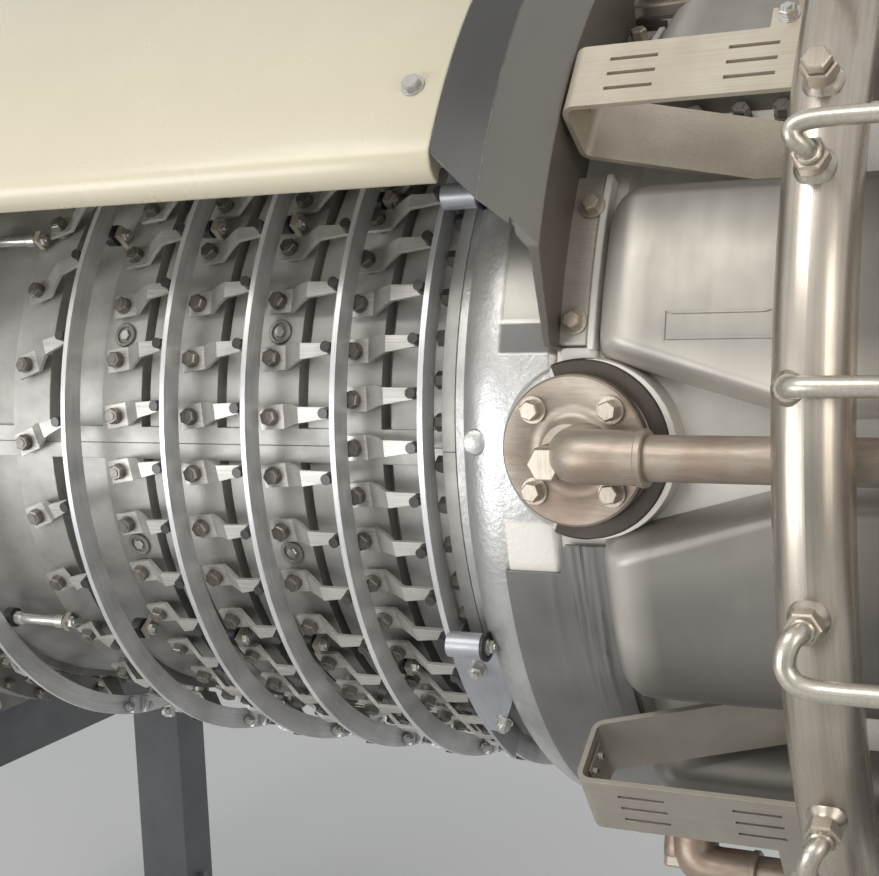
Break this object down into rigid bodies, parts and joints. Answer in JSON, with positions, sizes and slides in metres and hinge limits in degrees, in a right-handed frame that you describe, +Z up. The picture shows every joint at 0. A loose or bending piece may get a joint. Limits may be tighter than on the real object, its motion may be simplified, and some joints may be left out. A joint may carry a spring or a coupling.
{
  "type": "gas turbine engine",
  "caption": "Industrial gas turbine engine with variable vane levers and actuation rings, ring of fuel injectors, fuel manifold, flanged intake and exhaust, on two pedestals",
  "frame": {"origin": "on the floor, in the middle of the engine's length, below the engine axis", "axes": "+X along the engine axis towards the exhaust, +Z up, -Y the side the picture shows"},
  "size_m": [3, 1.3241, 1.7659],
  "materials": {
    "inlet_paint": "pale paint, satin",
    "cast_case_paint": "light warm grey heat resisting paint on castings, satin",
    "stem_steel": "dark machined steel",
    "lever_steel": "dark forged and machined steel",
    "ring_steel": "satin machined steel, slightly blue grey",
    "roller_black": "black bearing sleeve",
    "bracket_steel": "beige tinted stainless strip",
    "diffuser_cast": "silver heat resisting coat on a rough casting",
    "apron_grey": "creased sheet, grey satin",
    "collector_grey": "mid grey paint, satin",
    "combustor_light": "pale heat resisting coat",
    "heat_tint_steel": "stainless turned brown by heat",
    "gasket_pale": "pale woven gasket strip",
    "jacket_stainless": "satin stainless foil jacket",
    "manifold_stainless": "brushed stainless tube",
    "cover_cream": "cream paint, satin",
    "turbine_metal": "heat darkened alloy steel",
    "pedestal_grey": "dark grey paint, satin"
  },
  "bodies": {
    "root": {"inlet_bellmouth_upper": "inlet_paint", "inlet_bellmouth_lower": "inlet_paint", "inlet_frame": "cast_case_paint", "inlet_struts": "cast_case_paint", "inlet_hub": "cast_case_paint", "nose_cone": "inlet_paint", "inlet_guide_vanes": "stem_steel", "guide_vane_hub": "stem_steel", "inlet_case": "cast_case_paint", "compressor_case_upper": "cast_case_paint", "compressor_case_lower": "cast_case_paint", "vane_stems_a": "stem_steel", "vane_stems_b": "stem_steel", "vane_stems_c": "stem_steel", "vane_stems_d": "stem_steel", "vane_stems_e": "stem_steel", "vane_stems_f": "stem_steel", "vane_levers_a": "lever_steel", "vane_levers_b": "lever_steel", "vane_levers_c": "lever_steel", "vane_levers_d": "lever_steel", "vane_levers_e": "lever_steel", "vane_levers_f": "lever_steel", "actuation_ring_a": "ring_steel", "actuation_ring_b": "ring_steel", "actuation_ring_c": "ring_steel", "actuation_ring_d": "ring_steel", "actuation_ring_e": "ring_steel", "actuation_ring_f": "ring_steel", "ring_rollers": "roller_black", "roller_posts": "bracket_steel", "ring_f_brackets": "bracket_steel", "diffuser_case": "diffuser_cast", "apron_sheet": "apron_grey", "bleed_hood": "collector_grey", "combustor_case": "combustor_light", "clamp_plates": "heat_tint_steel", "gasket_strips": "gasket_pale", "insulation_jackets": "jacket_stainless", "injector_flanges": "heat_tint_steel", "injector_pipes": "heat_tint_steel", "fuel_manifold": "manifold_stainless", "manifold_fittings": "manifold_stainless", "manifold_feed_tubes": "manifold_stainless", "strap_brackets": "bracket_steel", "arched_cover": "cover_cream", "cover_brackets": "bracket_steel", "turbine_case": "turbine_metal", "exhaust_diffuser": "turbine_metal", "exhaust_cone": "turbine_metal", "front_pedestal": "pedestal_grey", "rear_pedestal": "pedestal_grey"}
  },
  "joints": []
}
